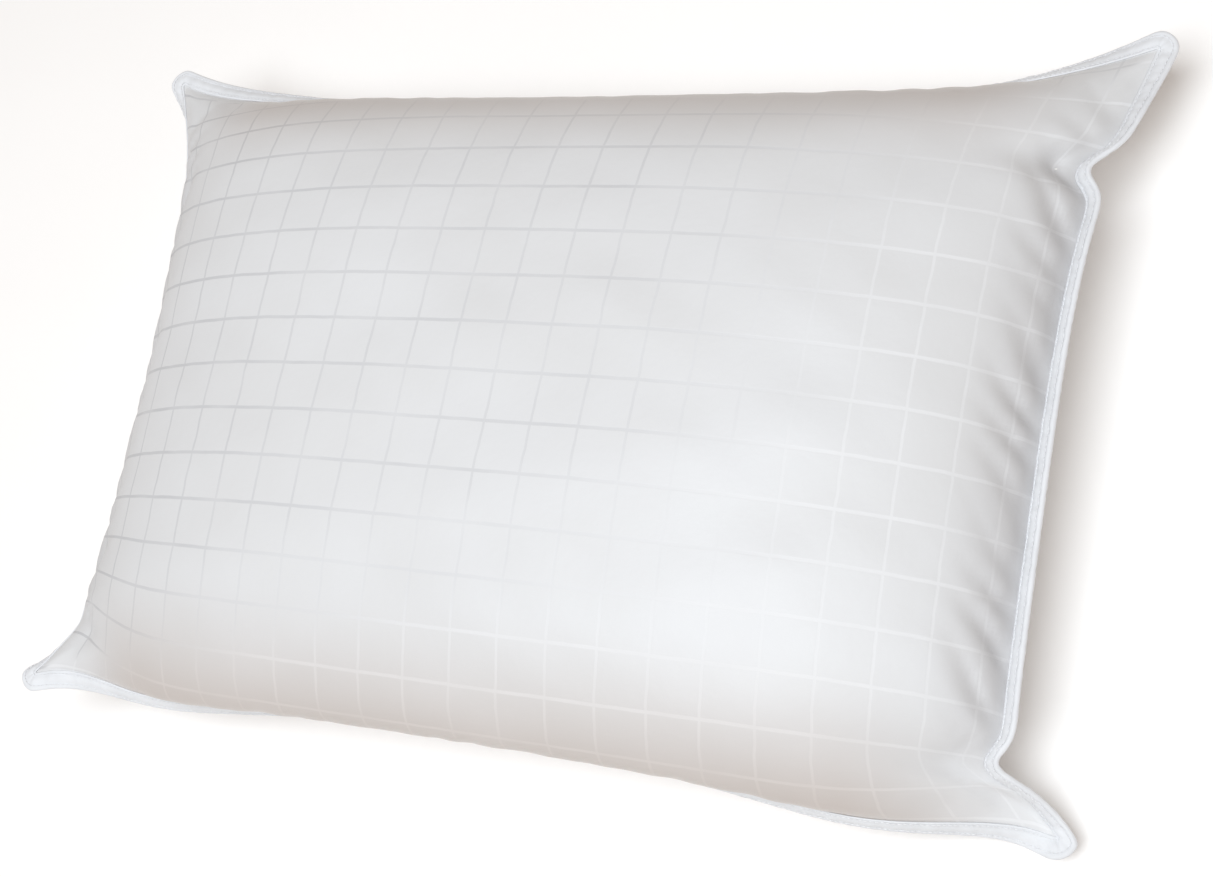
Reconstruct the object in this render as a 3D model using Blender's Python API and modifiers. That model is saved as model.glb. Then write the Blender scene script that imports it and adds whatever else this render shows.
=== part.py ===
"""Standard bed pillow lying on its back panel: two woven panels round a loose fill, their raw
edges bound all round with a folded tape that is lockstitched in two rows, and the stretch
where the fill went in closed by a later run of the same two rows.

Units are metres. The origin is on the surface the pillow rests on, under its centre. +X runs
along the long side, +Y along the short side and +Z out of the front panel. The pieces hang on
an empty in the seam plane, the plane in which the two panels meet.
"""
import math

import bmesh
import bpy
from mathutils import Vector

# The shell
PANEL_LENGTH = 0.6250        # panel between its crowned edges, along X, at the corners once filled
PANEL_WIDTH = 0.4730         # the same along Y
BINDING_WIDTH = 0.0127       # the folded tape, from the crowned edge to its fold
CLOTH = 0.0006               # one layer of panel or tape
GAP = 0.0003                 # air between pieces that touch

# The filled shape
FRONT_CROWN = 0.080          # front panel above its allowance, at the centre
BACK_CROWN = 0.078           # back panel below its allowance, if nothing pressed on it
SEAM_HEIGHT = 0.067          # seam plane above the resting face
SHORT_SIDE_DRAW = 0.019      # how far the middle of each short side draws in
LONG_SIDE_DRAW = 0.034       # how far the middle of each long side draws in
SIDE_POWER = 3.7             # higher keeps the middle of a side straighter
DRAW_POWER = 6.0             # higher keeps the draw to the outer part of a panel
CROWN_POWER = 3.0            # higher keeps the middle of the crown flatter
CROWN_ROUND = 0.62           # lower makes the crown's shoulder steeper

# The bound edge, measured outward from the crowned edge
TAPE_INSET = 0.0008          # the tape's two inner edges
INNER_ROW = 0.0024           # first row of stitching
ROW_SPACING = 0.0072         # from the first row to the second
ALLOWANCE = 0.0085           # seam allowance of each panel, inside the tape
CORNER_REACH = 0.0080        # where a corner starts to round off, from its sharp point
THREAD = 0.0006              # sewing thread, across

# The fill opening, on the +X side, in shares of half the panel's width
OPENING_START = -0.78
OPENING_END = -0.18
RUN_SPACE = 0.0009           # from each end of the closing run to the main run

# Fineness of the solids
LENGTH_CELLS = 20
WIDTH_CELLS = 16
CORNER_STEPS = 6
CLOSING_STEPS = 8
END_CROWDING = 0.55          # 0 spaces the cells evenly, 1 crowds them towards the edges
RIM_MERGE = 0.00001          # distance within which the fill's two halves share their rim

HALF_LENGTH = PANEL_LENGTH / 2
HALF_WIDTH = PANEL_WIDTH / 2
PANEL_LEVEL = GAP / 2 + CLOTH                    # outer face of an allowance, from the seam plane
TAPE_UNDER = PANEL_LEVEL + GAP
TAPE_TOP = TAPE_UNDER + CLOTH
THREAD_LEVEL = TAPE_TOP + GAP + THREAD / 2
FILL_INSET = CLOTH + GAP

COTTON_WHITE = (0.86, 0.86, 0.87)
TAPE_WHITE = (0.88, 0.89, 0.91)
THREAD_WHITE = (0.90, 0.90, 0.89)
FILL_WHITE = (0.90, 0.88, 0.84)


def crowded(share):
    """Move a share of a half side towards the end, where the shape turns fastest."""
    return (1 - END_CROWDING) * share + END_CROWDING * math.sin(share * math.pi / 2)


def drawn_in(along, across, draw):
    """Distance that a point of a panel moves towards the middle once the pillow is filled."""
    return draw * (1 - abs(across) ** SIDE_POWER) * abs(along) ** DRAW_POWER


def plan_point(s, t):
    """Plan position of a panel's point s, t, each from -1 to 1 between the crowned edges."""
    x = s * (HALF_LENGTH - drawn_in(s, t, SHORT_SIDE_DRAW))
    y = t * (HALF_WIDTH - drawn_in(t, s, LONG_SIDE_DRAW))
    return Vector((x, y, 0))


def crown_share(s, t):
    """Height of the crown at the same point, as a share of its height at the centre."""
    slab = (1 - abs(s) ** CROWN_POWER) * (1 - abs(t) ** CROWN_POWER)
    return max(slab, 0) ** CROWN_ROUND


def outward(tangent):
    """Outward direction of an anticlockwise outline that runs along the tangent."""
    return Vector((tangent.y, -tangent.x, 0)).normalized()


def at_edge(share):
    """Whether a share of a half side is at the crowned edge."""
    return math.isclose(abs(share), 1)


def side_slope(share, draw):
    """How fast a side comes out again towards its corner, for each unit of share."""
    return draw * SIDE_POWER * abs(share) ** (SIDE_POWER - 1) * math.copysign(1, share)


def short_side(share):
    """Point and outward direction of the crowned edge on the +X side, share from -1 to 1."""
    return plan_point(1, share), outward(Vector((side_slope(share, SHORT_SIDE_DRAW), HALF_WIDTH, 0)))


def long_side(share):
    """Point and outward direction of the crowned edge on the +Y side, share from -1 to 1."""
    return plan_point(share, 1), outward(Vector((-HALF_LENGTH, -side_slope(share, LONG_SIDE_DRAW), 0)))


def corner(share):
    """Point and outward direction on the rounded +X +Y corner, share from 0 to 1."""
    sharp = Vector((HALF_LENGTH, HALF_WIDTH, 0))
    start = short_side(1 - CORNER_REACH / HALF_WIDTH)[0]
    end = long_side(1 - CORNER_REACH / HALF_LENGTH)[0]
    point = (1 - share) ** 2 * start + 2 * share * (1 - share) * sharp + share ** 2 * end
    return point, outward((1 - share) * (sharp - start) + share * (end - sharp))


def quadrant():
    """Points and outward directions of the crowned edge, from the +X side's middle to +Y's."""
    short_steps = WIDTH_CELLS // 2
    long_steps = LENGTH_CELLS // 2
    short_last = 1 - CORNER_REACH / HALF_WIDTH
    long_last = 1 - CORNER_REACH / HALF_LENGTH
    stations = [short_side(short_last * crowded(k / short_steps)) for k in range(short_steps)]
    stations += [corner(k / CORNER_STEPS) for k in range(CORNER_STEPS + 1)]
    stations += [long_side(long_last * crowded(k / long_steps)) for k in reversed(range(long_steps))]
    return stations


def flipped(vector, flip_x, flip_y):
    """The vector turned over in X, in Y or in both."""
    return Vector((-vector.x if flip_x else vector.x, -vector.y if flip_y else vector.y, vector.z))


def edge_loop(offset, level):
    """Closed anticlockwise outline outside the crowned edge, at a level above the seam plane."""
    stations = quadrant()
    loop = []
    for flip_x, flip_y in ((False, False), (True, False), (True, True), (False, True)):
        ordered = stations if flip_x == flip_y else stations[::-1]
        quarter = [flipped(point + offset * normal, flip_x, flip_y) for point, normal in ordered]
        loop += quarter[:-1]
    return [point + Vector((0, 0, level)) for point in loop]


def side_run(offset, level, start, end):
    """Points of a row on the +X side, between two shares of half the panel's width."""
    points = []
    for step in range(CLOSING_STEPS + 1):
        point, normal = short_side(start + (end - start) * step / CLOSING_STEPS)
        points.append(point + offset * normal + Vector((0, 0, level)))
    return points


def main_run(offset, level):
    """Points of a row all round the pillow, from one end of the fill opening to the other."""
    space = RUN_SPACE / HALF_WIDTH
    low, high = (
        point + offset * normal + Vector((0, 0, level))
        for point, normal in (short_side(OPENING_START - space), short_side(OPENING_END + space))
    )
    loop = edge_loop(offset, level)
    in_opening = [point.x > 0 and low.y - THREAD < point.y < high.y + THREAD for point in loop]
    first = in_opening.index(True)
    after = first + sum(in_opening)
    return [high] + loop[after:] + loop[:first] + [low]


def cloth_material(name, colour, roughness):
    """Plain matt textile."""
    material = bpy.data.materials.new(name)
    material.use_nodes = True
    shader = material.node_tree.nodes["Principled BSDF"]
    shader.inputs["Base Color"].default_value = (*colour, 1)
    shader.inputs["Roughness"].default_value = roughness
    shader.inputs["Metallic"].default_value = 0
    return material


def add_object(name, data, collection, material, frame):
    """Link a new object, give it its material and hang it on the seam plane's empty."""
    piece = bpy.data.objects.new(name, data)
    collection.objects.link(piece)
    piece.parent = frame
    if material:
        data.materials.append(material)
    return piece


def grid_mesh(name, columns, rows, place, facing_up=True):
    """Mesh of a square-celled grid whose vertex at column, row goes where place says."""
    mesh = bpy.data.meshes.new(name)
    work = bmesh.new()
    bmesh.ops.create_grid(work, x_segments=columns, y_segments=rows, size=0.5)
    for vertex in work.verts:
        column = round((vertex.co.x + 0.5) * columns)
        row = round((vertex.co.y + 0.5) * rows)
        vertex.co = place(column, row)
    if not facing_up:
        bmesh.ops.reverse_faces(work, faces=work.faces)
    work.to_mesh(mesh)
    work.free()
    mesh.shade_smooth()
    return mesh


def panel_share(index, cells):
    """Share from -1 to 1 of a grid line that counts from one crowned edge to the other."""
    return crowded(2 * index / cells - 1)


def surface_height(s, t, side):
    """Outer face of the front panel (side 1) or the back panel (side -1), from the seam plane."""
    if side > 0:
        return PANEL_LEVEL + FRONT_CROWN * crown_share(s, t)
    return max(-PANEL_LEVEL - BACK_CROWN * crown_share(s, t), -SEAM_HEIGHT)


def edge_point(s, t):
    """Point of the crowned edge at s, t, with the four corners rounded off."""
    if at_edge(s) and at_edge(t):
        return flipped(corner(0.5)[0], s < 0, t < 0)
    return plan_point(s, t)


def allowance_point(s, t, beyond_x, beyond_y):
    """Outer edge of the seam allowance, beyond the crowned edge's point s, t."""
    if at_edge(s) and at_edge(t):
        turn = {(True, False): 0, (True, True): 0.5, (False, True): 1}[beyond_x, beyond_y]
        return flipped(corner(0.5)[0] + ALLOWANCE * corner(turn)[1], s < 0, t < 0)
    point, normal = short_side(t) if beyond_x else long_side(s)
    return flipped(point + ALLOWANCE * normal, beyond_x and s < 0, beyond_y and t < 0)


def panel_point(column, row, side):
    """Outer face of a panel on a grid whose outermost lines are the seam allowance's edge."""
    inner_column = min(max(column - 1, 0), LENGTH_CELLS)
    inner_row = min(max(row - 1, 0), WIDTH_CELLS)
    s = panel_share(inner_column, LENGTH_CELLS)
    t = panel_share(inner_row, WIDTH_CELLS)
    beyond_x = inner_column != column - 1
    beyond_y = inner_row != row - 1
    if beyond_x or beyond_y:
        point = allowance_point(s, t, beyond_x, beyond_y)
    else:
        point = edge_point(s, t)
    point.z = surface_height(s, t, side)
    return point


def make_panel(name, side, collection, material, frame):
    """Woven panel: an open crowned surface with a flat seam allowance, thickened inward."""
    mesh = grid_mesh(
        name, LENGTH_CELLS + 2, WIDTH_CELLS + 2,
        lambda column, row: panel_point(column, row, side), facing_up=side > 0)
    panel = add_object(name, mesh, collection, material, frame)
    thicken = panel.modifiers.new("cloth", "SOLIDIFY")
    thicken.thickness = CLOTH
    thicken.offset = -1
    thicken.use_even_offset = True
    return panel


def fill_point(column, row, side):
    """Outer face of the panel over the fill, closed to the seam plane along its rim."""
    s = panel_share(column, LENGTH_CELLS)
    t = panel_share(row, WIDTH_CELLS)
    point = edge_point(s, t)
    point.z = 0 if at_edge(s) or at_edge(t) else surface_height(s, t, side)
    return point


def make_fill(name, collection, material, frame):
    """The loose filling as one closed mass, a layer of cloth and a gap inside the panels."""
    mesh = bpy.data.meshes.new(name)
    work = bmesh.new()
    for side in (1, -1):
        half = grid_mesh(
            name + "_half", LENGTH_CELLS, WIDTH_CELLS,
            lambda column, row: fill_point(column, row, side), facing_up=side > 0)
        work.from_mesh(half)
        bpy.data.meshes.remove(half)
    bmesh.ops.remove_doubles(work, verts=work.verts, dist=RIM_MERGE)
    work.to_mesh(mesh)
    work.free()
    mesh.shade_smooth()
    fill = add_object(name, mesh, collection, material, frame)
    shrink = fill.modifiers.new("clear_of_panels", "DISPLACE")
    shrink.direction = "NORMAL"
    shrink.mid_level = 0
    shrink.strength = -FILL_INSET
    return fill


def poly_curve(name, points, closed, dimensions="3D"):
    """Curve of one straight-sided spline."""
    curve = bpy.data.curves.new(name, "CURVE")
    curve.dimensions = dimensions
    spline = curve.splines.new("POLY")
    spline.points.add(len(points) - 1)
    for target, point in zip(spline.points, points):
        target.co = (*point, 1)
    spline.use_cyclic_u = closed
    return curve


def tape_section():
    """Cross-section of the folded tape: outward distance and height from the seam plane."""
    fold = BINDING_WIDTH - TAPE_TOP
    outer = [
        (fold + TAPE_TOP * math.cos(angle), TAPE_TOP * math.sin(angle))
        for angle in (math.pi / 2, math.pi / 6, -math.pi / 6, -math.pi / 2)
    ]
    inner = [(fold, -TAPE_UNDER), (fold + TAPE_UNDER, 0), (fold, TAPE_UNDER)]
    legs = [(TAPE_INSET, -TAPE_TOP), (TAPE_INSET, -TAPE_UNDER)]
    return [(TAPE_INSET, TAPE_UNDER), (TAPE_INSET, TAPE_TOP)] + outer + legs + inner


def make_binding(name, collection, guides, material, frame):
    """Folded tape that encloses both allowances, swept once round the crowned edge."""
    section = poly_curve(name + "_section", [(x, y, 0) for x, y in tape_section()], True, "2D")
    guide = add_object(name + "_section", section, guides, None, frame)
    guide.hide_render = True
    guide.display_type = "WIRE"
    curve = poly_curve(name, edge_loop(0, 0), True)
    curve.bevel_mode = "OBJECT"
    curve.bevel_object = guide
    curve.twist_mode = "Z_UP"
    return add_object(name, curve, collection, material, frame)


def make_thread(name, points, collection, material, frame):
    """Sewing thread along a row, as an open tube with closed ends."""
    curve = poly_curve(name, points, False)
    curve.bevel_depth = THREAD / 2
    curve.bevel_resolution = 0
    curve.use_fill_caps = True
    return add_object(name, curve, collection, material, frame)


def make_stitching(collection, material, frame):
    """Two rows, each a main run and a closing run, each with its needle and bobbin thread."""
    rows = (("inner_row", INNER_ROW), ("outer_row", INNER_ROW + ROW_SPACING))
    threads = (("needle_thread", THREAD_LEVEL), ("bobbin_thread", -THREAD_LEVEL))
    for row, offset in rows:
        for thread, level in threads:
            run = main_run(offset, level)
            make_thread(f"{row}_{thread}", run, collection, material, frame)
            closing = side_run(offset, level, OPENING_START, OPENING_END)
            make_thread(f"closing_{row}_{thread}", closing, collection, material, frame)


def main():
    for old in list(bpy.data.objects):
        bpy.data.objects.remove(old)
    parts = bpy.data.collections.new("bed_pillow")
    guides = bpy.data.collections.new("guides")
    for collection in (parts, guides):
        bpy.context.scene.collection.children.link(collection)
    frame = bpy.data.objects.new("seam_plane", None)
    frame.location = (0, 0, SEAM_HEIGHT)
    parts.objects.link(frame)

    cotton = cloth_material("cotton_panel", COTTON_WHITE, 0.55)
    tape = cloth_material("cotton_tape", TAPE_WHITE, 0.75)
    thread = cloth_material("sewing_thread", THREAD_WHITE, 0.5)
    filling = cloth_material("filling", FILL_WHITE, 0.95)

    make_panel("front_panel", 1, parts, cotton, frame)
    make_panel("back_panel", -1, parts, cotton, frame)
    make_binding("edge_binding", parts, guides, tape, frame)
    make_stitching(parts, thread, frame)
    make_fill("fill", parts, filling, frame)


main()
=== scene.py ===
"""Visual model of the bed pillow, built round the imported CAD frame.

Two panels of woven windowpane cotton are inflated by a cloth simulation from a boxy crowned
form with drawn-out corners, and the small gathers along the seam are deepened afterwards. The
seam's margin comes out of the same simulation, and the folded tape, the two rows of lockstitch
and the filling are built on the simulated cloth.

Units are metres, in the row frame: +X along the long side, +Y along the short side, +Z up.
"""
import math
from collections import namedtuple

import bmesh
import bpy
import numpy as np
from mathutils import Matrix, Vector, noise


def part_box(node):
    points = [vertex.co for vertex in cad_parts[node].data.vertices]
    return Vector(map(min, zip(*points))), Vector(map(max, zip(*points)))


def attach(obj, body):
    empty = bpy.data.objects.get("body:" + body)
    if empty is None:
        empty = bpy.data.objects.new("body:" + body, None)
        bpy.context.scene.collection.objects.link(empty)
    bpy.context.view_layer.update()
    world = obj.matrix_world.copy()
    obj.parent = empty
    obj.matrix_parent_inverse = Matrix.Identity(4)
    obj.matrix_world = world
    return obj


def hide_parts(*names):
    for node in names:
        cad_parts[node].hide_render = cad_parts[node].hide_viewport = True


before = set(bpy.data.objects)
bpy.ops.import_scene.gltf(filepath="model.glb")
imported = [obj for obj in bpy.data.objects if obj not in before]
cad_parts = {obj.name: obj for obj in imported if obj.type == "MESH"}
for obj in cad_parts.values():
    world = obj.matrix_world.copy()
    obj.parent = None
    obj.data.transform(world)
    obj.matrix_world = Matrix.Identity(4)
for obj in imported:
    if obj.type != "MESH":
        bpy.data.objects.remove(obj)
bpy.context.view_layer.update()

# Sizes from the frame
tape_low, tape_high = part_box("edge_binding")
panel_low, panel_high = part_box("front_panel")
SEAM_HEIGHT = (tape_low.z + tape_high.z) / 2
CROWN_TOP = panel_high.z - SEAM_HEIGHT

# The cut cloth, between the tape's inner edges. A filled panel draws in, so it is cut larger.
BAND = 0.0127
MARGIN = 0.0085
HALF_LENGTH = panel_high.x
HALF_WIDTH = panel_high.y
CLOTH = 0.0006
CUT_EASE = 1.02
PANEL_LEVEL = 0.00075
TAPE_LEVEL = 0.00165

# The filled form before simulation. Each side draws in by a share of the half size, ever less
# towards its low and high ends, and its band leans up from the seam plane or hangs below it.
Side = namedtuple("Side", "draw low_power high_power depth_power tilt low_tilt_power high_tilt_power")
SIDES = {
    "left": Side(0.070, 9.0, 4.7, 5.5, -1.25, 14, 14),
    "right": Side(0.062, 10.0, 2.6, 5.5, 0.85, 10, 5),
    "top": Side(0.190, 2.6, 2.6, 6.0, -1.1, 2.6, 6),
    "bottom": Side(0.197, 2.6, 2.2, 12.0, -1.3, 6, 24),
}
BACK_DEPTH_POWER = 3.0
CROWN = 0.955 * CROWN_TOP
CROWN_POWER = 2.8
CROWN_ROUND = 0.70

# Each corner: which way it lies, how far its ear reaches along each side and how the ear is
# pulled, and how the quarter round it moves. The numbers began as a least-squares fit to the
# pillow's outline in the photo, and ten of the thirty-two were then changed.
QUARTER_REACH = (0.14, 0.14)
CORNERS = (
    ((1, 1), (0.090, 0.055), (0.0075, -0.0031, -0.0142), (0.0021, 0.0040, 0.0006)),
    ((-1, 1), (0.068, 0.054), (-0.0064, -0.0172, -0.0054), (0.0009, -0.0140, 0.0298)),
    ((-1, -1), (0.051, 0.069), (0.0014, 0.0370, 0.0072), (0.0003, 0.0030, 0.0061)),
    ((1, -1), (0.047, 0.034), (0.0060, 0.0390, -0.0374), (0.0013, 0.0060, -0.0146)),
)

# Each tuck on a short side: its place on the seam in shares of the half sizes, how far the seam
# is pulled in there, how deep the valley is that it starts, and the valley's half width and reach
Tuck = namedtuple("Tuck", "way_x t pull valley half_width reach")
TUCKS = (
    Tuck(1, 0.66, 0.014, 0.007, 0.009, 0.030),
    Tuck(1, -0.765, 0.012, 0.013, 0.011, 0.038),
    Tuck(-1, -0.83, 0.004, 0.006, 0.012, 0.030),
)

# Fineness and simulation
CELL = 0.0055
MARGIN_ROWS = 2
FRAMES = 28
POINT_CAP = 0.025
GATHER_KEPT = 0.8
FLOOR_LIFT = 0.0015

# The least height between the panels, reached this far inside the seam
LEAST_GAP = 0.018
LEAST_GAP_INSET = 0.030

# How firmly the filling holds the cloth, and how much less it does out in a corner's ear
HELD = 0.62
HELD_LESS = 0.27
EAR_SIZE = 0.085

# Gathers beside a pair of seams: their height, how they lean and how far apart they are, and
# the inset at which they are highest and over which they fade
Gather = namedtuple("Gather", "height lean spacing crest fade")
SHORT_SIDE_GATHERS = Gather(0.0045, 0.85, 0.027, 0.014, 0.017)
LONG_SIDE_GATHERS = Gather(0.0018, 0.5, 0.031, 0.012, 0.014)
WRINKLE_HEIGHT = 0.0016
WRINKLE_INSET = 0.05

# Tape: its stations along the seam, its puckers, and its two rows of stitches by their distance
# out from the seam
STATION_SPACING = 0.0018
PUCKER_HEIGHT = 0.00020
INNER_ROW = 0.0026
OUTER_ROW = 0.0096
STITCH = 0.0029
STITCH_GAP = 0.0005
THREAD = 0.00055
STITCH_SIDES = 6
STITCH_RINGS = 5

# Filling: how far it lies inside the panels, less where they are close, and inside the seam
FILL_INSET = 0.0045
FILL_THIN = 0.3
FILL_RIM_INSET = 0.006
FILL_STEP = 2

# The woven check, in the cut cloth's own coordinates.
CHECK_CELL = 0.0296
FIRST_COLUMN = -0.2611
FIRST_ROW = 0.2347
LINE_HALF = 0.0010
YARN_PITCH = 0.0005

# Painted sheen: the stripes are painted darker than the ground where the cloth faces this way in the world,
# where the glossy ground catches the light, and lighter where it turns off
STRIPE_SHEEN_WAY = (-0.50, 0.22, 0.84)
STRIPE_SHEEN_RANGE = (0.64, 0.96)
STRIPE_OFF_SHEEN = (0.785, 0.785, 0.79)
STRIPE_IN_SHEEN = (0.575, 0.575, 0.585)
GROUND = ((0.715, 0.712, 0.712), (0.74, 0.74, 0.745))

# Painted shade beside each pair of seams, where the rims turn from the light, grey on the short sides and
# darker and warm on the long sides, and how far in it reaches
SHORT_SIDE_PAINTED_SHADE = (0.055, (0.83, 0.82, 0.82))
LONG_SIDE_PAINTED_SHADE = (0.110, (0.76, 0.68, 0.625))

# Camera at the photo's angle, above the pillow's right side, from that same fit
CAMERA_PLACE = Vector((0.569, -0.320, 0.994 + SEAM_HEIGHT))
CAMERA_WAY = Vector((-0.451, 0.263, -0.853))
CAMERA_UP = (-0.065, 0.943, 0.326)
CAMERA_LENS = 58.7

# Sockets of a Mix node set to RGBA, whose names repeat those of its other kinds
MIX_A = 6
MIX_B = 7
MIX_RESULT = 2


def side_pull(names, across, along, beyond, side):
    """How much of its outward place each point keeps, and its band's lean, for a pair of sides.

    across runs out to the two named sides and along runs beside them, each from -1 to 1. The
    front bulges out over the seam, and the back runs straight in to it.
    """
    low_side, high_side = (SIDES[name] for name in names)
    high = across > 0
    draw = np.where(high, high_side.draw, low_side.draw)
    low_end = np.where(high, high_side.low_power, low_side.low_power)
    high_end = np.where(high, high_side.high_power, low_side.high_power)
    ends = np.where(along > 0, high_end, low_end)
    depth = np.where(high, high_side.depth_power, low_side.depth_power)
    if side < 0:
        depth = np.minimum(depth, BACK_DEPTH_POWER)
    kept = 1 - draw * (1 - abs(along) ** ends) * abs(across) ** depth
    low_tilt = np.where(high, high_side.low_tilt_power, low_side.low_tilt_power)
    high_tilt = np.where(high, high_side.high_tilt_power, low_side.high_tilt_power)
    tilt_power = np.where(along > 0, high_tilt, low_tilt)
    tilt = np.where(high, high_side.tilt, low_side.tilt) * (1 - abs(along) ** tilt_power)
    return kept, tilt, abs(beyond) * np.sin(tilt)


def filled_form(u, v, side):
    """Where the cut cloth's points u, v lie on the filled pillow; side 1 is the front."""
    s = np.clip(u / HALF_LENGTH, -1, 1)
    t = np.clip(v / HALF_WIDTH, -1, 1)
    beyond_x = u - HALF_LENGTH * s
    beyond_y = v - HALF_WIDTH * t
    kept_x, tilt_x, rise_x = side_pull(("left", "right"), s, t, beyond_x, side)
    kept_y, tilt_y, rise_y = side_pull(("bottom", "top"), t, s, beyond_y, side)
    x = HALF_LENGTH * s * kept_x + beyond_x * np.cos(tilt_x)
    y = HALF_WIDTH * t * kept_y + beyond_y * np.cos(tilt_y)
    slab = np.clip((1 - abs(s) ** CROWN_POWER) * (1 - abs(t) ** CROWN_POWER), 0, 1)
    z = side * CROWN * slab ** CROWN_ROUND + rise_x + rise_y
    points = np.stack([x, y, z], 1)
    for (way_x, way_y), ear_reach, ear, quarter in CORNERS:
        far_x = HALF_LENGTH - u * way_x
        far_y = HALF_WIDTH - v * way_y
        for (reach_x, reach_y), move in ((ear_reach, ear), (QUARTER_REACH, quarter)):
            share = np.exp(-(far_x / reach_x) ** 2 / 2 - (far_y / reach_y) ** 2 / 2)
            points += share[:, None] * np.array(move)
    for tuck in TUCKS:
        near_x = np.maximum(HALF_LENGTH - u * tuck.way_x, 0) / tuck.reach
        near_y = (v - tuck.t * HALF_WIDTH) / tuck.half_width
        share = np.exp(-near_x ** 2 / 2 - near_y ** 2 / 2)
        points[:, 0] -= tuck.way_x * tuck.pull * share
        points[:, 2] -= side * tuck.valley * share * np.minimum(2 * near_x, 1)
    points[:, 2] = np.maximum(points[:, 2] + SEAM_HEIGHT, FLOOR_LIFT)
    return points


def axis_lines(half):
    """Grid lines of the cut cloth along one axis, margin rows included."""
    cells = 2 * round(half / CELL)
    inner = np.linspace(-half, half, cells + 1)
    steps = BAND * np.arange(1, MARGIN_ROWS + 1) / MARGIN_ROWS
    return np.concatenate([-half - steps[::-1], inner, half + steps])


class CutCloth:
    """Index of the grid that both panels and the margin share."""

    def __init__(self):
        self.lines_u = axis_lines(HALF_LENGTH)
        self.lines_v = axis_lines(HALF_WIDTH)
        self.last_u = len(self.lines_u) - 1 - MARGIN_ROWS
        self.last_v = len(self.lines_v) - 1 - MARGIN_ROWS
        self.places = {}
        self.flat = []
        self.sides = []
        for side in (1, -1, 0):
            for row in range(len(self.lines_v)):
                for column in range(len(self.lines_u)):
                    if self.owner(column, row, side) == side:
                        self.places[column, row, side] = len(self.flat)
                        self.flat.append(self.flat_point(column, row))
                        self.sides.append(side)
        self.flat = np.array(self.flat)
        self.sides = np.array(self.sides)

    def owner(self, column, row, side):
        """1 or -1 inside a panel, 0 on the seam and in the margin, which the panels share."""
        inside = MARGIN_ROWS < column < self.last_u and MARGIN_ROWS < row < self.last_v
        return (side or 2) if inside else 0

    def flat_point(self, column, row):
        """Place on the cut cloth, with the margin's outer corners rounded."""
        u = self.lines_u[column]
        v = self.lines_v[row]
        over_u = max(abs(u) - HALF_LENGTH, 0)
        over_v = max(abs(v) - HALF_WIDTH, 0)
        if over_u > 0 and over_v > 0:
            shrink = max(over_u, over_v) / math.hypot(over_u, over_v)
            u = math.copysign(HALF_LENGTH + over_u * shrink, u)
            v = math.copysign(HALF_WIDTH + over_v * shrink, v)
        return u, v

    def index(self, column, row, side):
        """Vertex of a panel's or the margin's grid point."""
        return self.places[column, row, self.owner(column, row, side)]

    def order(self, side):
        """Vertices of a panel with the margin, as rows of a grid."""
        rows = range(len(self.lines_v))
        columns = range(len(self.lines_u))
        return np.array([[self.index(column, row, side) for column in columns] for row in rows])

    def faces(self):
        """Front and back panel cells, then the margin's."""
        found = []
        for row in range(len(self.lines_v) - 1):
            for column in range(len(self.lines_u) - 1):
                in_panel = MARGIN_ROWS <= column < self.last_u and MARGIN_ROWS <= row < self.last_v
                for side in ((1, -1) if in_panel else (1,)):
                    ring = [(column, row), (column + 1, row), (column + 1, row + 1), (column, row + 1)]
                    if side < 0:
                        ring.reverse()
                    found.append([self.index(c, r, side) for c, r in ring])
        return found


def wave(value, length, phase=0.0):
    """Sine of a wave of the given length."""
    return np.sin(2 * math.pi * value / length + phase)


def gathers(along, inset, lean, spacing):
    """Narrow valleys at uneven places along a seam, each leaning as it runs into the panel."""
    place = along - lean * inset + 0.22 * spacing * wave(along, 3.3 * spacing)
    depth = 0.65 + 0.35 * wave(along, 4.7 * spacing, 1.0)
    return -depth * (0.5 + 0.5 * wave(place, spacing)) ** 2.5 + 0.15 * wave(place, 0.37 * spacing)


def pucker_seeds(u, v):
    """Height of the small gathers that start at the seam and die out in the panel."""
    height = 0
    for along, inset, kind in (
            (v, HALF_LENGTH - abs(u), SHORT_SIDE_GATHERS),
            (u, HALF_WIDTH - abs(v), LONG_SIDE_GATHERS)):
        fade = np.exp(-((inset - kind.crest) / kind.fade) ** 2)
        height = height + kind.height * gathers(along, inset, kind.lean, kind.spacing) * fade
    return height


def soft_wrinkles(u, v, side):
    """Height of the long, shallow wrinkles across a panel, dying out at its seam."""
    rough = np.array([
        noise.noise(Vector((a / 0.19, (b - 0.3 * a) / 0.05, 3 * side)))
        + 0.5 * noise.noise(Vector((a / 0.07, (b + 0.5 * a) / 0.03, 7 * side)))
        for a, b in zip(u, v)
    ])
    inset = np.minimum(HALF_LENGTH - abs(u), HALF_WIDTH - abs(v))
    return WRINKLE_HEIGHT * rough * np.clip(inset / WRINKLE_INSET, 0, 1)


def held_share(u, v):
    """How firmly the filling holds each point near its place: least at the corners' ears."""
    from_corner = np.hypot(HALF_LENGTH - abs(u), HALF_WIDTH - abs(v))
    free = np.exp(-(from_corner / EAR_SIZE) ** 4)
    return HELD - HELD_LESS * free


def keep_apart(cloth, points):
    """Spread the panels wherever they come too close, so the ears stay puffy."""
    front = [at for at in cloth.places.items() if at[0][2] == 1]
    above = np.array([index for _, index in front])
    below = np.array([cloth.places[column, row, -1] for (column, row, _), _ in front])
    u, v = abs(cloth.flat[above]).T
    inset = np.minimum(HALF_LENGTH - u, HALF_WIDTH - v)
    wanted = LEAST_GAP * np.minimum(inset / LEAST_GAP_INSET, 1) ** 0.7
    short = np.maximum(wanted - (points[above, 2] - points[below, 2]), 0)
    points[above, 2] += short / 2
    points[below, 2] -= short / 2
    points[:, 2] = np.maximum(points[:, 2], FLOOR_LIFT)


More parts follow.
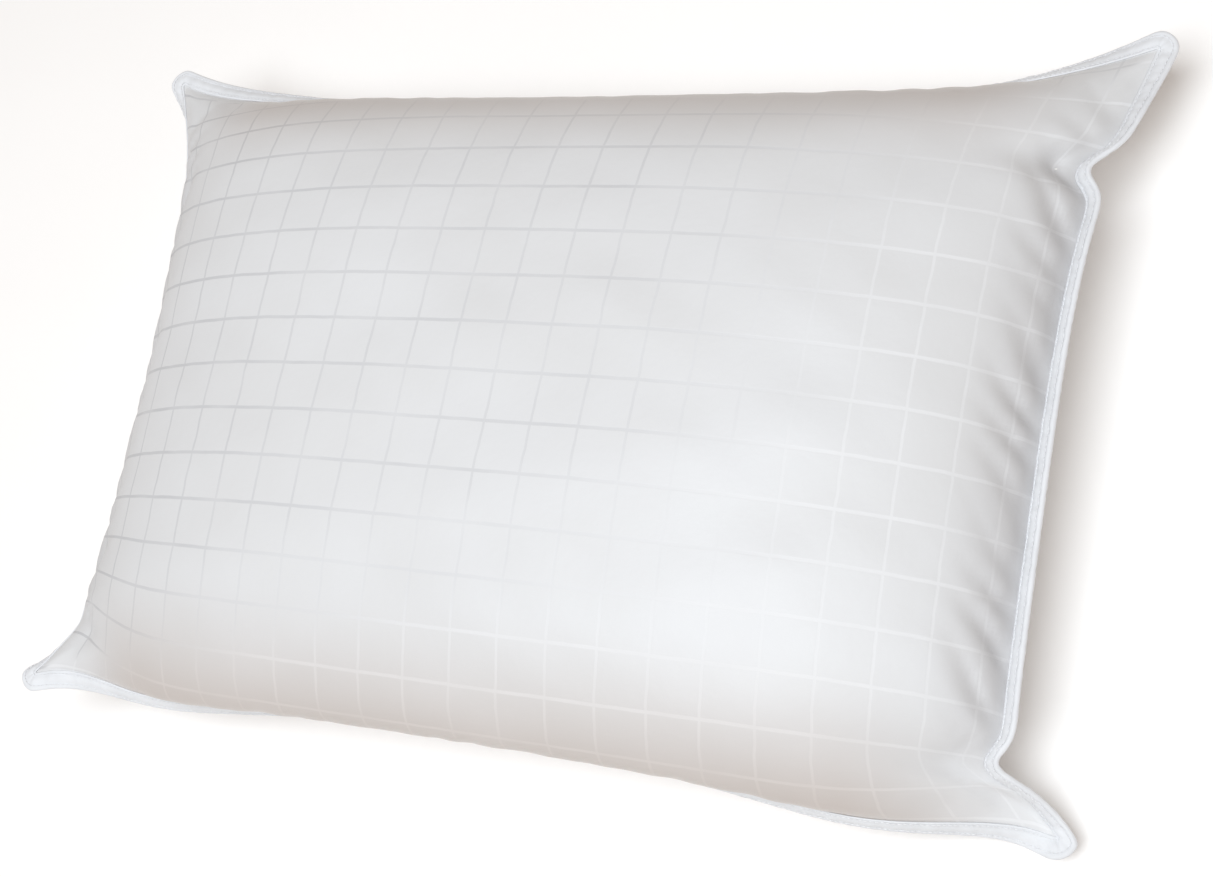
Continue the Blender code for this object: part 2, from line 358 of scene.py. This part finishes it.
def press_gathers(cloth, points):
    """Deepen the small gathers in both panels, square to the cloth."""
    for side in (1, -1):
        order = cloth.order(side)
        normal = grid_normals(points[order])
        inside = cloth.sides[order] == side
        chosen = order[inside]
        depth = GATHER_KEPT * pucker_seeds(*cloth.flat[chosen].T)
        points[chosen] += side * depth[:, None] * normal[inside]


def simulate(cloth):
    """Inflate the cut cloth round the filled form and return its points."""
    front = filled_form(cloth.flat[:, 0], cloth.flat[:, 1], 1)
    back = filled_form(cloth.flat[:, 0], cloth.flat[:, 1], -1)
    start = np.where(cloth.sides[:, None] < 0, back, front)
    in_panel = cloth.sides != 0
    way = np.where(cloth.sides < 0, -1, 1)
    u, v = cloth.flat.T
    relief = pucker_seeds(u, v)
    for side in (1, -1):
        relief = relief + soft_wrinkles(u, v, side) * (cloth.sides == side)
    start[:, 2] += in_panel * way * relief
    keep_apart(cloth, start)
    mesh = bpy.data.meshes.new("pillow_simulation")
    mesh.from_pydata(start.tolist(), [], cloth.faces())
    shell = bpy.data.objects.new("pillow_simulation", mesh)
    bpy.context.scene.collection.objects.link(shell)
    shell.shape_key_add(name="filled")
    cut = shell.shape_key_add(name="cut")
    flat = np.column_stack([CUT_EASE * cloth.flat, np.full(len(cloth.flat), SEAM_HEIGHT)])
    cut.data.foreach_set("co", flat.ravel())

    pressed = shell.vertex_groups.new(name="pressed")
    pressed.add([int(i) for i in np.flatnonzero(in_panel)], 1.0, "REPLACE")
    held = shell.vertex_groups.new(name="held")
    for index, weight in enumerate(held_share(cloth.flat[:, 0], cloth.flat[:, 1])):
        held.add([index], float(weight), "REPLACE")

    points = run_cloth(shell, cut)
    bpy.data.objects.remove(shell)

    move = points - start
    length = np.linalg.norm(move, axis=1, keepdims=True)
    move *= np.minimum(1, POINT_CAP / np.maximum(length, 1e-9))
    points = start + move
    press_gathers(cloth, points)
    keep_apart(cloth, points)
    return points


def run_cloth(shell, cut):
    """Run the simulation on the shell, whose rest shape is the cut cloth; returns its points."""
    modifier = shell.modifiers.new("Cloth", "CLOTH")
    settings = modifier.settings
    settings.quality = 7
    settings.mass = 0.15
    settings.tension_stiffness = 20
    settings.compression_stiffness = 12
    settings.shear_stiffness = 8
    settings.bending_stiffness = 0.6
    settings.tension_damping = 5
    settings.compression_damping = 5
    settings.shear_damping = 5
    settings.bending_damping = 0.5
    settings.air_damping = 5
    settings.rest_shape_key = cut
    settings.vertex_group_mass = "held"
    settings.pin_stiffness = 4.0
    settings.use_pressure = True
    settings.vertex_group_pressure = "pressed"
    settings.uniform_pressure_force = 3.0
    settings.effector_weights.gravity = 0
    modifier.collision_settings.use_self_collision = False
    modifier.collision_settings.use_collision = False
    modifier.point_cache.frame_start = 1
    modifier.point_cache.frame_end = FRAMES
    scene = bpy.context.scene
    scene.frame_start = 1
    scene.frame_end = FRAMES
    for number in range(1, FRAMES + 1):
        scene.frame_set(number)
    done = shell.evaluated_get(bpy.context.evaluated_depsgraph_get()).to_mesh()
    points = np.empty(len(done.vertices) * 3)
    done.vertices.foreach_get("co", points)
    scene.frame_set(1)
    return points.reshape(-1, 3)


def add_piece(name, mesh, material):
    """Link a mesh as a smooth piece that rides on the pillow's one body."""
    piece = bpy.data.objects.new(name, mesh)
    bpy.context.scene.collection.objects.link(piece)
    mesh.materials.append(material)
    mesh.shade_smooth()
    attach(piece, "root")
    return piece


def closed_mesh(name, vertices, faces):
    """Mesh of closed shells with every face turned outwards."""
    mesh = bpy.data.meshes.new(name)
    mesh.from_pydata(vertices, [], faces)
    work = bmesh.new()
    work.from_mesh(mesh)
    bmesh.ops.recalc_face_normals(work, faces=work.faces)
    work.to_mesh(mesh)
    work.free()
    return mesh


def grid_normals(grid):
    """Unit normals of a grid of points, facing up where the grid runs +X then +Y."""
    along_u = np.gradient(grid, axis=1)
    along_v = np.gradient(grid, axis=0)
    normal = np.cross(along_u, along_v)
    return normal / np.maximum(np.linalg.norm(normal, axis=2, keepdims=True), 1e-12)


def cloth_grid(cloth, points, side):
    """A panel's points as a grid, with the margin, and the flat place of each."""
    order = cloth.order(side)
    return points[order], cloth.flat[order]


def crease_seam(mesh, flat):
    """Keep the fold at the inner row of stitches crisp."""
    inset = np.minimum(HALF_LENGTH - abs(flat[:, 0]), HALF_WIDTH - abs(flat[:, 1]))
    on_seam = abs(inset) < 1e-6
    ends = np.empty(2 * len(mesh.edges), dtype=np.int32)
    mesh.edges.foreach_get("vertices", ends)
    creased = on_seam[ends].reshape(-1, 2).all(axis=1)
    layer = mesh.attributes.new("crease_edge", "FLOAT", "EDGE")
    layer.data.foreach_set("value", creased.astype(np.float32))
    mesh.edges.foreach_set("use_edge_sharp", creased)


def make_panel(name, cloth, points, side, material):
    """Woven panel with its seam allowance, lying on its own side of the seam plane."""
    grid, flat = cloth_grid(cloth, points, side)
    keep = slice(MARGIN_ROWS - 1, -(MARGIN_ROWS - 1))
    share = (MARGIN / BAND * MARGIN_ROWS) - 1
    normal = grid_normals(grid)
    inset = np.minimum(HALF_LENGTH - abs(flat[..., 0]), HALF_WIDTH - abs(flat[..., 1]))
    lift = PANEL_LEVEL * np.exp(-np.maximum(inset, 0) / 0.012)
    grid = grid + side * lift[..., None] * normal
    grid = grid[keep, keep]
    flat = flat[keep, keep]
    rows, columns = grid.shape[:2]
    faces = []
    for row in range(rows - 1):
        for column in range(columns - 1):
            first = row * columns + column
            ring = [first, first + 1, first + columns + 1, first + columns]
            faces.append(ring if side > 0 else ring[::-1])
    mesh = bpy.data.meshes.new(name)
    mesh.from_pydata(grid.reshape(-1, 3).tolist(), [], faces)
    layer = mesh.uv_layers.new(name="cut_cloth")
    corner_vertices = np.empty(len(mesh.loops), dtype=np.int32)
    mesh.loops.foreach_get("vertex_index", corner_vertices)
    layer.data.foreach_set("uv", flat.reshape(-1, 2)[corner_vertices].ravel())
    panel = add_piece(name, mesh, material)
    crease_seam(mesh, flat.reshape(-1, 2))
    smooth = panel.modifiers.new("smooth", "SUBSURF")
    smooth.levels = 1
    smooth.render_levels = 1
    thick = panel.modifiers.new("cloth", "SOLIDIFY")
    thick.thickness = CLOTH
    thick.offset = -1
    return panel


def node_material(name):
    """New node material with its tree and its Principled shader."""
    material = bpy.data.materials.new(name)
    material.use_nodes = True
    tree = material.node_tree
    shader = tree.nodes["Principled BSDF"]
    return material, tree, shader


def math_node(tree, kind, first, second=None):
    """Math node fed by sockets or numbers; returns its output."""
    node = tree.nodes.new("ShaderNodeMath")
    node.operation = kind
    for socket, value in zip(node.inputs, (first, second)):
        if value is None:
            continue
        if isinstance(value, (int, float)):
            socket.default_value = value
        else:
            tree.links.new(value, socket)
    return node.outputs[0]


def noise_node(tree, vector, scale, detail):
    """Noise texture on the given coordinates; returns its value."""
    node = tree.nodes.new("ShaderNodeTexNoise")
    node.inputs["Scale"].default_value = scale
    node.inputs["Detail"].default_value = detail
    tree.links.new(vector, node.inputs["Vector"])
    return node.outputs["Fac"]


def blend_colour(tree, share, first, second):
    """Mix of two colours by a share."""
    node = tree.nodes.new("ShaderNodeMix")
    node.data_type = "RGBA"
    tree.links.new(share, node.inputs["Factor"])
    for socket, value in zip((node.inputs[MIX_A], node.inputs[MIX_B]), (first, second)):
        if isinstance(value, tuple):
            socket.default_value = (*value, 1)
        else:
            tree.links.new(value, socket)
    return node.outputs[MIX_RESULT]


def multiply_colour(tree, first, second):
    """Product of two colours."""
    node = tree.nodes.new("ShaderNodeMix")
    node.data_type = "RGBA"
    node.blend_type = "MULTIPLY"
    node.inputs["Factor"].default_value = 1
    tree.links.new(first, node.inputs[MIX_A])
    tree.links.new(second, node.inputs[MIX_B])
    return node.outputs[MIX_RESULT]


def map_range(tree, value, low, high, to_low=0.0, to_high=1.0):
    """Smoothly stepped map of a value."""
    node = tree.nodes.new("ShaderNodeMapRange")
    node.interpolation_type = "SMOOTHSTEP"
    tree.links.new(value, node.inputs["Value"])
    for socket, number in zip(("From Min", "From Max", "To Min", "To Max"), (low, high, to_low, to_high)):
        node.inputs[socket].default_value = number
    return node.outputs["Result"]


def line_share(tree, place, start, half_width):
    """1 on the nearest stripe of a set one check apart, 0 between the stripes."""
    shifted = math_node(tree, "SUBTRACT", place, start)
    off_line = math_node(tree, "PINGPONG", shifted, CHECK_CELL / 2)
    return map_range(tree, off_line, half_width * 1.35, half_width * 0.65)


def sheen_facing_share(tree, way, low, high):
    """0 to 1 as the cloth turns to face the given way, for the stripes' painted sheen."""
    dot = tree.nodes.new("ShaderNodeVectorMath")
    dot.operation = "DOT_PRODUCT"
    tree.links.new(tree.nodes.new("ShaderNodeNewGeometry").outputs["Normal"], dot.inputs[0])
    dot.inputs[1].default_value = way
    return map_range(tree, dot.outputs["Value"], low, high)


def painted_seam_shade(tree, inset, reach, other_inset, tint):
    """Painted shade beside a pair of seams, fading inwards and towards the corners."""
    near_seam = map_range(tree, inset, 0.0, reach, 1.0, 0.0)
    off_corner = map_range(tree, other_inset, 0.02, 0.10)
    share = math_node(tree, "MULTIPLY", near_seam, off_corner)
    return blend_colour(tree, share, (1.0, 1.0, 1.0), tint)


def windowpane_cotton():
    """White sateen with a windowpane check of plain-woven stripes, with painted sheen on the stripes and
    painted shade beside the seams.
    """
    material, tree, shader = node_material("windowpane_cotton")
    uv = tree.nodes.new("ShaderNodeUVMap")
    uv.uv_map = "cut_cloth"
    wobble = noise_node(tree, uv.outputs["UV"], 70, 1)
    split = tree.nodes.new("ShaderNodeSeparateXYZ")
    tree.links.new(uv.outputs["UV"], split.inputs["Vector"])
    drift = math_node(tree, "MULTIPLY", math_node(tree, "SUBTRACT", wobble, 0.5), 0.0016)
    across = math_node(tree, "ADD", split.outputs["X"], drift)
    up = math_node(tree, "ADD", split.outputs["Y"], math_node(tree, "MULTIPLY", drift, 0.5))
    columns = math_node(tree, "MULTIPLY", line_share(tree, across, FIRST_COLUMN, LINE_HALF * 0.8), 0.8)
    rows = line_share(tree, up, FIRST_ROW, LINE_HALF)
    stripes = math_node(tree, "MAXIMUM", columns, rows)

    fade = noise_node(tree, uv.outputs["UV"], 28, 2)
    stripes = math_node(tree, "MULTIPLY", stripes, map_range(tree, fade, 0.25, 0.65, 0.6, 1.0))
    ground = blend_colour(
        tree, map_range(tree, noise_node(tree, uv.outputs["UV"], 9, 3), 0.3, 0.7), *GROUND)
    # Painted sheen: stripes darker where the cloth faces the glossy way, lighter where it turns off
    towards = sheen_facing_share(tree, STRIPE_SHEEN_WAY, *STRIPE_SHEEN_RANGE)
    stripe = blend_colour(tree, towards, STRIPE_OFF_SHEEN, STRIPE_IN_SHEEN)
    woven = blend_colour(tree, stripes, ground, stripe)
    inset_x, inset_y = (
        math_node(tree, "SUBTRACT", half, math_node(tree, "ABSOLUTE", split.outputs[axis]))
        for half, axis in ((HALF_LENGTH, "X"), (HALF_WIDTH, "Y")))
    # Painted shade beside the seams, warm along the long sides
    for inset, other_inset, (reach, tint) in (
            (inset_x, inset_y, SHORT_SIDE_PAINTED_SHADE), (inset_y, inset_x, LONG_SIDE_PAINTED_SHADE)):
        woven = multiply_colour(tree, woven, painted_seam_shade(tree, inset, reach, other_inset, tint))
    tree.links.new(woven, shader.inputs["Base Color"])

    rough = map_range(tree, stripes, 0.0, 1.0, 0.48, 0.58)
    tree.links.new(rough, shader.inputs["Roughness"])
    shader.inputs["Specular IOR Level"].default_value = 0.45
    shader.inputs["Sheen Weight"].default_value = 0.25
    shader.inputs["Sheen Roughness"].default_value = 0.4

    warp, weft = (
        math_node(tree, "SINE", math_node(tree, "MULTIPLY", split.outputs[axis], 2 * math.pi / YARN_PITCH))
        for axis in ("X", "Y"))
    weave = math_node(tree, "MULTIPLY", warp, weft)
    crinkle = noise_node(tree, uv.outputs["UV"], 160, 4)
    relief = math_node(tree, "ADD", math_node(tree, "MULTIPLY", weave, 0.06), crinkle)
    relief = math_node(tree, "ADD", relief, math_node(tree, "MULTIPLY", stripes, -0.35))
    bump = tree.nodes.new("ShaderNodeBump")
    bump.inputs["Strength"].default_value = 0.25
    bump.inputs["Distance"].default_value = 0.0006
    tree.links.new(relief, bump.inputs["Height"])
    tree.links.new(bump.outputs["Normal"], shader.inputs["Normal"])
    return material


def plain_cotton(name, first, second, rough, scale):
    """Plain woven or spun cotton, mottled between two near colours."""
    material, tree, shader = node_material(name)
    place = tree.nodes.new("ShaderNodeTexCoord").outputs["Object"]
    mottle = map_range(tree, noise_node(tree, place, scale, 3), 0.3, 0.7)
    tree.links.new(blend_colour(tree, mottle, first, second), shader.inputs["Base Color"])
    tree.links.new(map_range(tree, mottle, 0.0, 1.0, rough - 0.06, rough + 0.06), shader.inputs["Roughness"])
    shader.inputs["Sheen Weight"].default_value = 0.2
    shader.inputs["Sheen Roughness"].default_value = 0.5
    bump = tree.nodes.new("ShaderNodeBump")
    bump.inputs["Strength"].default_value = 0.3
    bump.inputs["Distance"].default_value = 0.0003
    tree.links.new(noise_node(tree, place, scale * 14, 3), bump.inputs["Height"])
    tree.links.new(bump.outputs["Normal"], shader.inputs["Normal"])
    return material


def seam_ring(cloth):
    """Grid places of the seam, anticlockwise, with the outward margin places beside each."""
    first = MARGIN_ROWS
    ring = []
    for column in range(first, cloth.last_u):
        ring.append((column, first, 0, -1))
    for row in range(first, cloth.last_v):
        ring.append((cloth.last_u, row, 1, 0))
    for column in range(cloth.last_u, first, -1):
        ring.append((column, cloth.last_v, 0, 1))
    for row in range(cloth.last_v, first, -1):
        ring.append((first, row, -1, 0))
    return ring


def resampled(closed_points, spacing):
    """Points evenly spaced along a closed line of any dimension, by its first three."""
    loop = np.vstack([closed_points, closed_points[:1]])
    steps = np.linalg.norm(np.diff(loop[:, :3], axis=0), axis=1)
    run = np.concatenate([[0], np.cumsum(steps)])
    count = int(run[-1] / spacing)
    at = np.arange(count) * run[-1] / count
    return np.column_stack([np.interp(at, run, loop[:, k]) for k in range(loop.shape[1])]), run[-1]


def margin_ways(cloth, column, row, out_u, out_v):
    """Steps from a seam point into the margin: one along a side, three round a corner."""
    way_u = int(column == cloth.last_u) - int(column == MARGIN_ROWS)
    way_v = int(row == cloth.last_v) - int(row == MARGIN_ROWS)
    if way_u == 0 or way_v == 0:
        return ((out_u, out_v),)
    return (way_u - out_u, way_v - out_v), (way_u, way_v), (out_u, out_v)


def edge_stations(cloth, points, spacing):
    """Along the seam: its points, the ways out to the margin's edge and up, and its length."""
    rows = []
    for column, row, out_u, out_v in seam_ring(cloth):
        seam = points[cloth.index(column, row, 0)]
        for way_u, way_v in margin_ways(cloth, column, row, out_u, out_v):
            edge = points[cloth.index(column + way_u * MARGIN_ROWS, row + way_v * MARGIN_ROWS, 0)]
            rows.append(np.concatenate([edge, seam]))
    stations, length = resampled(np.array(rows), spacing)
    edge = stations[:, :3]
    seam = stations[:, 3:]
    out = edge - seam
    out /= np.linalg.norm(out, axis=1, keepdims=True)
    along = np.roll(edge, -1, axis=0) - np.roll(edge, 1, axis=0)
    normal = np.cross(along, out)
    normal /= np.linalg.norm(normal, axis=1, keepdims=True)
    return seam, out, normal, length


def smooth_closed(values, passes):
    """Average each row of a closed run with its neighbours."""
    for _ in range(passes):
        values = (np.roll(values, 1, axis=0) + 2 * values + np.roll(values, -1, axis=0)) / 4
    return values


def tape_profile():
    """Half cross-section of the tape: outward distance and height above the margin's middle."""
    swell = 0.0003
    dent = 0.0005
    return (
        (0.0006, TAPE_LEVEL - 0.0002), (0.0014, TAPE_LEVEL + swell / 2), (INNER_ROW, TAPE_LEVEL - dent),
        (0.0040, TAPE_LEVEL + swell), (0.0060, TAPE_LEVEL + swell), (0.0080, TAPE_LEVEL + swell / 2),
        (OUTER_ROW, TAPE_LEVEL - dent), (0.0108, TAPE_LEVEL), (0.0118, TAPE_LEVEL * 0.85),
        (0.0125, TAPE_LEVEL * 0.5),
    )


def pucker(run, outward, side):
    """Height of the tape's fine cross-puckers where a run of stitches gathers it."""
    lean = outward * 0.35 * side
    return (
        wave(run + lean, 0.0067)
        + 0.9 * wave(run - lean, 0.0103, 1.3)
        + 0.8 * wave(run, 0.0179, 2.1)
    )


def tape_surface(stations, outward, height, side):
    """Points of one line along the tape's face, puckered between the rows of stitches."""
    seam, out, normal, run = stations
    between = max(math.sin(math.pi * (outward - 0.0004) / BAND), 0.15)
    lift = height + PUCKER_HEIGHT * between * pucker(run, outward, side)
    return seam + outward * out + side * lift[:, None] * normal


def make_tape(name, stations, material):
    """Folded tape round the seam's margin, thin and open towards the panels."""
    profile = tape_profile()
    lines = [tape_surface(stations, a, h, 1) for a, h in profile]
    lines.append(stations[0] + BAND * stations[1])
    lines += [tape_surface(stations, a, h, -1) for a, h in reversed(profile)]
    inner = [(0.0006, TAPE_LEVEL - 0.0002 - CLOTH), (0.0060, TAPE_LEVEL - CLOTH), (0.0115, 0.0006)]
    lines += [stations[0] + a * stations[1] - h * stations[2] for a, h in inner]
    lines += [stations[0] + a * stations[1] + h * stations[2] for a, h in reversed(inner)]
    return swept(name, lines, material)


def swept(name, lines, material):
    """Closed tube whose lengthwise lines are given, each a closed run of points."""
    count = len(lines[0])
    across = len(lines)
    vertices = np.stack(lines, 1).reshape(-1, 3)
    faces = []
    for k in range(count):
        after = (k + 1) % count
        for j in range(across):
            beside = (j + 1) % across
            faces.append([k * across + j, k * across + beside, after * across + beside, after * across + j])
    return add_piece(name, closed_mesh(name, vertices.tolist(), faces), material)


def make_stitches(name, stations, outward, side, keep, material):
    """One row of lockstitch on one side, each stitch a short bowed thread."""
    seam, out, normal, run = stations
    spacing = run[1] - run[0]
    height = TAPE_LEVEL - 0.0003
    centre = tape_surface(stations, outward, height, side)
    count = int(len(seam) * spacing / STITCH)
    span = len(seam) * spacing
    vertices = []
    faces = []
    closed = np.arange(len(seam) + 1) * spacing
    loops = [np.vstack([a, a[:1]]) for a in (centre, out, normal)]

    def sample(loop, at):
        return np.array([np.interp(at, closed, loop[:, k]) for k in range(3)])

    for number in range(count):
        begin = number * span / count
        middle = sample(loops[0], begin + STITCH / 2)
        if not keep(middle):
            continue
        base = len(vertices)
        for ring in range(STITCH_RINGS):
            share = ring / (STITCH_RINGS - 1)
            at = begin + STITCH_GAP / 2 + share * (STITCH - STITCH_GAP)
            bow = math.sin(math.pi * share)
            across = sample(loops[1], at)
            up = side * sample(loops[2], at)
            point = sample(loops[0], at) + up * (THREAD * (0.15 + 0.45 * bow))
            radius = THREAD / 2 * (0.55 + 0.45 * bow)
            for k in range(STITCH_SIDES):
                turn = 2 * math.pi * k / STITCH_SIDES
                vertices.append(point + radius * (math.cos(turn) * across + math.sin(turn) * up))
        for ring in range(STITCH_RINGS - 1):
            for k in range(STITCH_SIDES):
                a = base + ring * STITCH_SIDES + k
                b = base + ring * STITCH_SIDES + (k + 1) % STITCH_SIDES
                faces.append([a, b, b + STITCH_SIDES, a + STITCH_SIDES])
        last = base + (STITCH_RINGS - 1) * STITCH_SIDES
        faces.append([base + k for k in reversed(range(STITCH_SIDES))])
        faces.append([last + k for k in range(STITCH_SIDES)])
    return add_piece(name, closed_mesh(name, [tuple(p) for p in vertices], faces), material)


def fill_lines(size):
    """Grid lines the filling keeps of a panel: the seam's and every second one between."""
    last = size - 1 - MARGIN_ROWS
    return list(range(MARGIN_ROWS, last, FILL_STEP)) + [last]


def make_filling(name, cloth, points, material):
    """The loose filling as one closed mass, a little inside both panels."""
    top, bottom = (cloth_grid(cloth, points, side)[0] for side in (1, -1))
    apart = np.linalg.norm(top - bottom, axis=2, keepdims=True)
    inset = np.minimum(FILL_INSET, FILL_THIN * apart)
    chosen = np.ix_(fill_lines(top.shape[0]), fill_lines(top.shape[1]))
    mesh = bpy.data.meshes.new(name)
    work = bmesh.new()
    for side, panel in ((1, top), (-1, bottom)):
        grid = (panel - side * inset * grid_normals(panel))[chosen]
        inward = np.array([0, 0, SEAM_HEIGHT]) - grid
        inward *= FILL_RIM_INSET / np.linalg.norm(inward, axis=2, keepdims=True)
        rim = np.ones(grid.shape[:2], dtype=bool)
        rim[1:-1, 1:-1] = False
        grid[rim] += inward[rim]
        made = [work.verts.new(p) for p in grid.reshape(-1, 3)]
        rows, columns = grid.shape[:2]
        for row in range(rows - 1):
            for column in range(columns - 1):
                first = row * columns + column
                ring = [first, first + 1, first + columns + 1, first + columns]
                work.faces.new([made[k] for k in (ring if side > 0 else ring[::-1])])
    bmesh.ops.remove_doubles(work, verts=work.verts, dist=1e-6)
    work.to_mesh(mesh)
    work.free()
    return add_piece(name, mesh, material)


def make_floor():
    """Plain pale floor under the pillow."""
    material, tree, shader = node_material("pale_floor")
    place = tree.nodes.new("ShaderNodeTexCoord").outputs["Object"]
    shade = map_range(tree, noise_node(tree, place, 3, 2), 0.3, 0.7)
    pale = blend_colour(tree, shade, (0.93, 0.91, 0.89), (0.95, 0.93, 0.91))
    tree.links.new(pale, shader.inputs["Base Color"])
    shader.inputs["Roughness"].default_value = 0.9
    shader.inputs["Emission Color"].default_value = (1, 0.98, 0.96, 1)
    shader.inputs["Emission Strength"].default_value = 0.10
    mesh = bpy.data.meshes.new("floor")
    reach = 60 * HALF_LENGTH
    corners = [(-reach, -reach, 0), (reach, -reach, 0), (reach, reach, 0), (-reach, reach, 0)]
    mesh.from_pydata(corners, [], [(0, 1, 2, 3)])
    mesh.materials.append(material)
    floor = bpy.data.objects.new("floor", mesh)
    bpy.context.scene.collection.objects.link(floor)


def aim(obj, place, target, up=None):
    """Put an object somewhere with its -Z axis at the target."""
    forward = (Vector(target) - Vector(place)).normalized()
    if up is None:
        obj.rotation_euler = forward.to_track_quat("-Z", "Y").to_euler()
    else:
        right = forward.cross(Vector(up)).normalized()
        true_up = right.cross(forward)
        obj.rotation_euler = Matrix((right, true_up, -forward)).transposed().to_euler()
    obj.location = place


def soft_light(name, place, size, power, colour):
    """Large square area light that faces the pillow."""
    data = bpy.data.lights.new(name, "AREA")
    data.size = size
    data.energy = power
    data.color = colour
    lamp = bpy.data.objects.new(name, data)
    bpy.context.scene.collection.objects.link(lamp)
    aim(lamp, place, (0, 0, SEAM_HEIGHT))


def make_lights():
    """Soft studio light from the camera's side, with an even surround."""
    world = bpy.data.worlds.new("studio")
    bpy.context.scene.world = world
    world.use_nodes = True
    background = world.node_tree.nodes["Background"]
    background.inputs["Color"].default_value = (1.0, 0.84, 0.72, 1)
    background.inputs["Strength"].default_value = 0.30
    soft_light("key", (0.30, -0.80, 3.0), 1.8, 87, (0.93, 1.0, 1.06))
    bpy.context.scene.view_settings.view_transform = "Standard"


def make_camera():
    """Camera at the photo's angle."""
    data = bpy.data.cameras.new("camera")
    data.sensor_width = 36
    data.lens = CAMERA_LENS
    camera = bpy.data.objects.new("camera", data)
    bpy.context.scene.collection.objects.link(camera)
    aim(camera, CAMERA_PLACE, CAMERA_PLACE + CAMERA_WAY, CAMERA_UP)
    data.clip_start = 0.05
    data.clip_end = 50
    bpy.context.scene.camera = camera


def seam_stations(cloth, points):
    """Smoothed points, outward ways, upward ways and runs along the seam, and its length."""
    seam, out, normal, length = edge_stations(cloth, points, STATION_SPACING)
    seam = smooth_closed(seam, 2)
    out = smooth_closed(out, 4)
    out /= np.linalg.norm(out, axis=1, keepdims=True)
    normal = smooth_closed(normal, 4)
    normal /= np.linalg.norm(normal, axis=1, keepdims=True)
    run = np.arange(len(seam)) * length / len(seam)
    return (seam, out, normal, run), length


def make_threads(stations, material):
    """Both rows of lockstitch on both faces, the closing run's stitches as pieces of their own."""
    closing_low, closing_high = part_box("closing_inner_row_needle_thread")

    def in_closing(point):
        return point[0] > 0 and closing_low.y < point[1] < closing_high.y

    threads = []
    for row, outward in (("inner_row", INNER_ROW), ("outer_row", OUTER_ROW)):
        for thread, side in (("needle_thread", 1), ("bobbin_thread", -1)):
            for prefix, keep in (("", lambda p: not in_closing(p)), ("closing_", in_closing)):
                node = f"{prefix}{row}_{thread}"
                piece = make_stitches(node + "_stitches", stations, outward, side, keep, material)
                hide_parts(node)
                threads.append(piece)
    return threads


def main():
    cotton = windowpane_cotton()
    tape_cotton = plain_cotton("tape_cotton", (0.76, 0.77, 0.79), (0.80, 0.81, 0.83), 0.7, 60)
    thread_cotton = plain_cotton("thread_cotton", (0.80, 0.80, 0.81), (0.84, 0.84, 0.85), 0.5, 200)
    fibre = plain_cotton("filling_fibre", (0.88, 0.86, 0.82), (0.93, 0.91, 0.88), 0.95, 40)

    cloth = CutCloth()
    points = simulate(cloth)
    front = make_panel("front_cover", cloth, points, 1, cotton)
    back = make_panel("back_cover", cloth, points, -1, cotton)
    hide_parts("front_panel")
    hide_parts("back_panel")

    filling = make_filling("filling", cloth, points, fibre)
    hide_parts("fill")

    stations, length = seam_stations(cloth, points)
    tape = make_tape("edge_tape", stations, tape_cotton)
    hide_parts("edge_binding")
    threads = make_threads(stations, thread_cotton)

    make_floor()
    make_lights()
    make_camera()


main()
